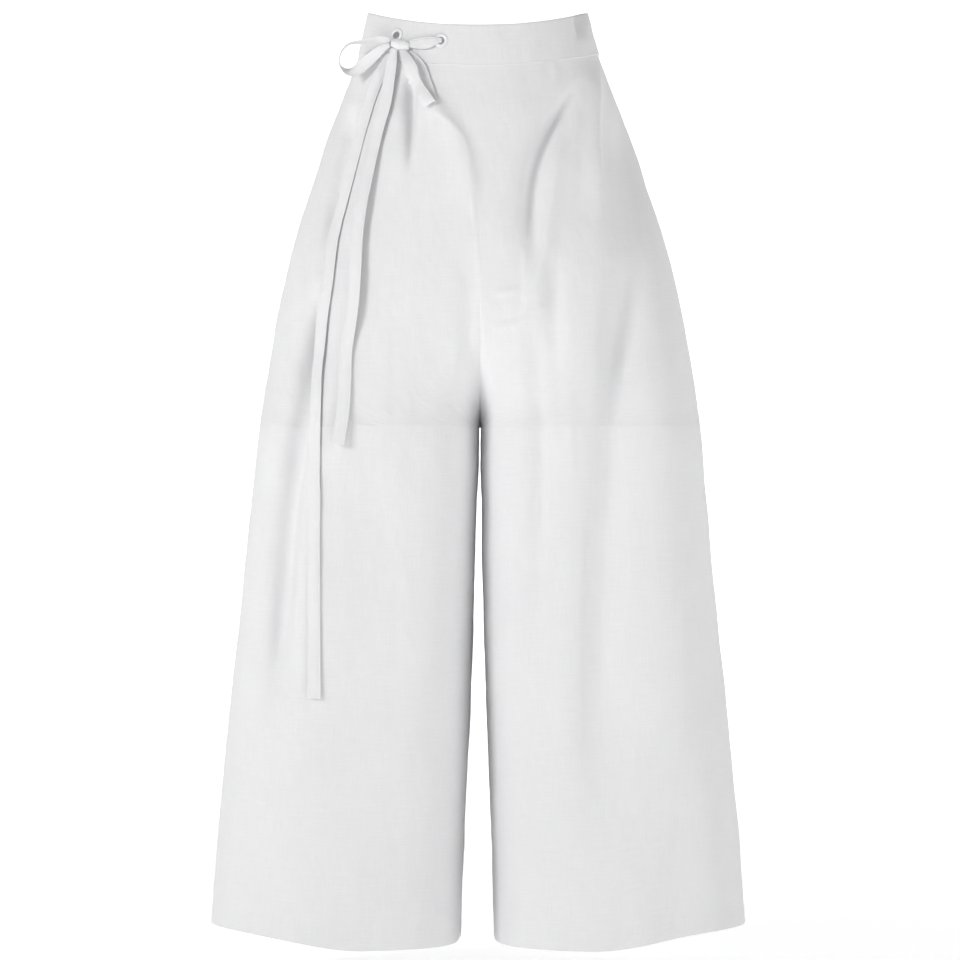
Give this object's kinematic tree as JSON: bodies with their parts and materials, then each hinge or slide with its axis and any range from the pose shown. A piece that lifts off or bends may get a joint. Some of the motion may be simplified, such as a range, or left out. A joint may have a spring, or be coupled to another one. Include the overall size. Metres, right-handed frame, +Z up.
{
  "type": "wrap pants",
  "caption": "Wide-legged ankle-length wrap pants in crisp cloth, filled out as worn, with a waistband that a flat tape ties through eyelets in a side bow",
  "frame": {"origin": "centre of the waist opening, level with the top edge of the waistband at the sides", "axes": "+Z up, front of the garment faces -Y, wearer's left is +X"},
  "size_m": [0.579, 0.2962, 1.0031],
  "materials": {
    "cloth": "matt white cotton and linen plain weave",
    "tape": "matt white folded and stitched tape of the same cloth",
    "eyelet": "white painted metal, semi-gloss"
  },
  "bodies": {
    "root": {"front_right": "cloth", "front_left": "cloth", "back_right": "cloth", "back_left": "cloth", "waistband_front": "cloth", "waistband_back": "cloth", "eyelet_inner": "eyelet", "eyelet_outer": "eyelet", "tie_lead": "tape", "tie_knot": "tape", "tie_loop_side": "tape", "tie_loop_front": "tape", "tie_tail_long": "tape", "tie_tail_short": "tape"}
  },
  "joints": []
}
